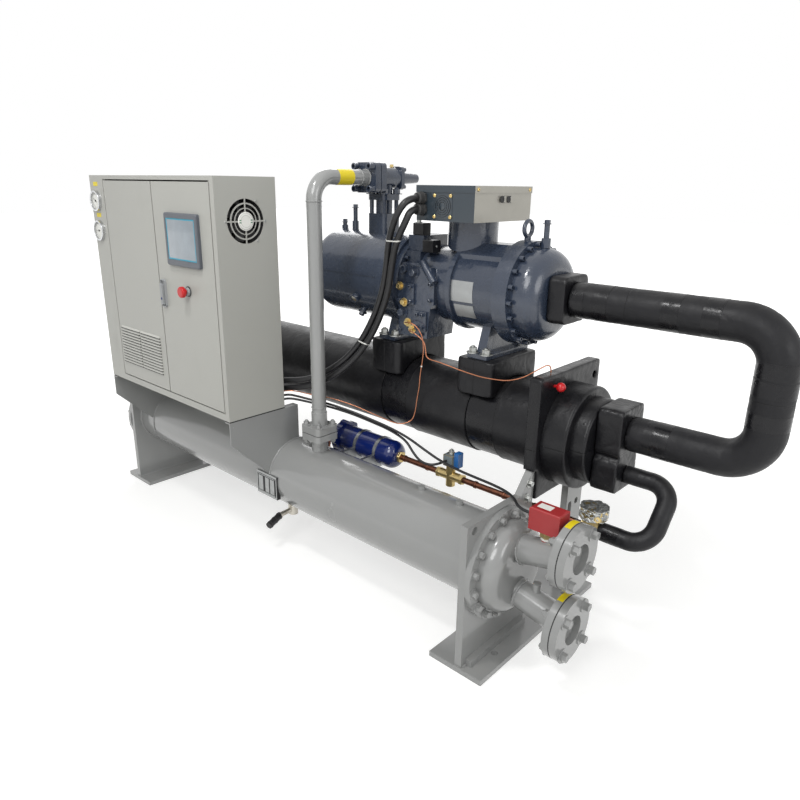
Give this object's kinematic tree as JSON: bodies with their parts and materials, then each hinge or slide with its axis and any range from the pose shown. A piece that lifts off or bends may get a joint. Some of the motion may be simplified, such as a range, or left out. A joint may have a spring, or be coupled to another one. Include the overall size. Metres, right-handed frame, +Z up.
{
  "type": "water chiller",
  "caption": "Water chiller: condenser vessel with electric cabinet, insulated evaporator carrying a screw compressor, pipework, feet",
  "frame": {"origin": "on the floor, at the centre of the four foot bolts", "axes": "+Z up, +X along the vessels to the end with the water connections, +Y to the back"},
  "size_m": [2.783, 0.922, 1.506],
  "materials": {
    "vessel_grey": "glossy grey machine paint",
    "cabinet_paint": "fine textured light grey powder coat",
    "casting_blue": "glossy dark slate blue paint on castings",
    "insulation": "black foam insulation wrapped in tape",
    "rubber": "black rubber",
    "drier_blue": "glossy deep blue enamel",
    "switch_red": "red moulded cover",
    "brass": "bare brass",
    "copper": "copper tube, darkened by brazing",
    "grey_plastic": "grey moulded plastic",
    "stop_red": "red moulded plastic",
    "gauge_chrome": "bright steel rim",
    "plate_metal": "dark bare plate",
    "black_plastic": "black plastic"
  },
  "bodies": {
    "machine": {"cabinet_base": "cabinet_paint", "cabinet_brackets": "vessel_grey", "cabinet_front": "cabinet_paint", "cabinet_rear": "cabinet_paint", "cabinet_roof": "cabinet_paint", "cabinet_sides": "cabinet_paint", "capillary_tubes": "copper", "compressor_body": "casting_blue", "compressor_feet": "casting_blue", "compressor_fittings": "casting_blue", "compressor_seats": "insulation", "condenser_shell": "vessel_grey", "control_cable": "black_plastic", "counter_flange_lower": "vessel_grey", "counter_flange_upper": "vessel_grey", "discharge_pipe": "vessel_grey", "discharge_valve": "casting_blue", "drier_brackets": "vessel_grey", "end_cover_left": "vessel_grey", "end_cover_right": "vessel_grey", "evaporator_cover_left": "insulation", "evaporator_cover_right": "insulation", "evaporator_nozzles": "vessel_grey", "evaporator_plates": "insulation", "evaporator_shell": "insulation", "evaporator_supports": "vessel_grey", "expansion_valve": "brass", "fan_frame": "black_plastic", "filter_drier": "drier_blue", "flange_gaskets": "rubber", "flow_switch": "switch_red", "foot_left": "vessel_grey", "foot_right": "vessel_grey", "header_boxes": "insulation", "liquid_line": "copper", "liquid_pipe": "insulation", "motor_end_cover": "casting_blue", "motor_housing": "casting_blue", "oil_separator": "casting_blue", "plate_frame": "plate_metal", "power_cables": "black_plastic", "pressure_gauges": "gauge_chrome", "rubber_strips": "rubber", "solenoid_coils": "black_plastic", "solenoid_valve": "brass", "square_flanges": "vessel_grey", "suction_pipe": "insulation", "suction_valve": "insulation", "terminal_box": "casting_blue", "terminal_lid": "casting_blue", "tubesheet_left": "vessel_grey", "tubesheet_right": "vessel_grey"},
    "left_leaf": {"door_left": "cabinet_paint"},
    "right_leaf": {"door_right": "cabinet_paint", "touch_screen": "grey_plastic", "latch_plate": "grey_plastic", "stop_collar": "grey_plastic"},
    "latch": {"latch_lever": "grey_plastic"},
    "stop_head": {"stop_button": "stop_red"},
    "rotor": {"fan_rotor": "black_plastic"}
  },
  "joints": [
    {"name": "left_door_hinge", "type": "hinge", "parent": "machine", "child": "left_leaf", "pos_m": [-0.756, -0.466, 1.03], "axis": [0, 0, -1], "range_deg": [0, 110]},
    {"name": "right_door_hinge", "type": "hinge", "parent": "machine", "child": "right_leaf", "pos_m": [-0.002, -0.466, 1.03], "axis": [0, 0, 1], "range_deg": [0, 110]},
    {"name": "latch_swing", "type": "hinge", "parent": "right_leaf", "child": "latch", "pos_m": [-0.345, -0.478, 1.059], "axis": [-1, 0, 0], "range_deg": [0, 75]},
    {"name": "stop_push", "type": "slide", "parent": "right_leaf", "child": "stop_head", "axis": [0, 1, 0], "range_m": [0, 0.005]},
    {"name": "fan_spin", "type": "hinge", "parent": "machine", "child": "rotor", "pos_m": [0, -0.352, 1.303], "axis": [1, 0, 0], "continuous": true}
  ]
}
